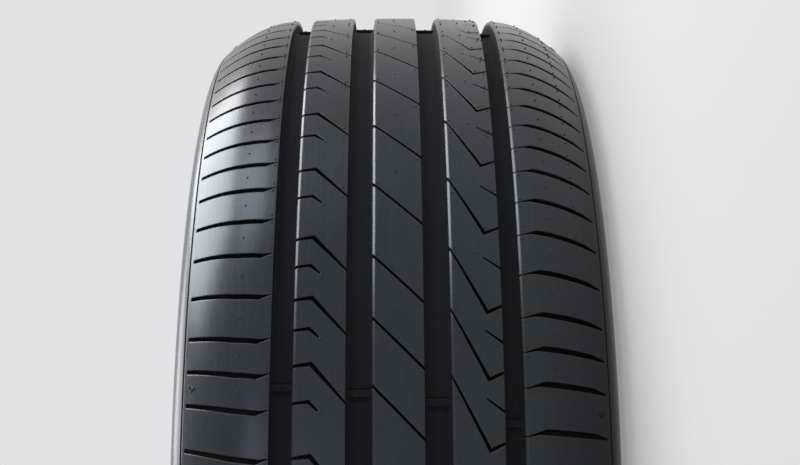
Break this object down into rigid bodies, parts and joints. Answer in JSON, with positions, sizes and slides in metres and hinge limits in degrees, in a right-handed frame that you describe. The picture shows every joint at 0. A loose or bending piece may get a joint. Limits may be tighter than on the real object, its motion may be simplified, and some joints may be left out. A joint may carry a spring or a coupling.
{
  "type": "car tyre",
  "caption": "Low-profile family car tyre with straight main grooves, swept shoulder slots, fine zigzag and hooked sipes and a rim protector on each sidewall.",
  "frame": {"origin": "on the tyre's axis, at the plane of the lower rim protector's flat face, on which the tyre lies", "axes": "+Z up along the tyre's axis to the shoulder with the swept slots; -Y faces the camera of the picture, whose picture has +X upwards"},
  "size_m": [0.6338, 0.6338, 0.225],
  "materials": {
    "tyre": "matt black rubber with a faint moulded sheen"
  },
  "bodies": {
    "root": {"tyre": "tyre"}
  },
  "joints": []
}
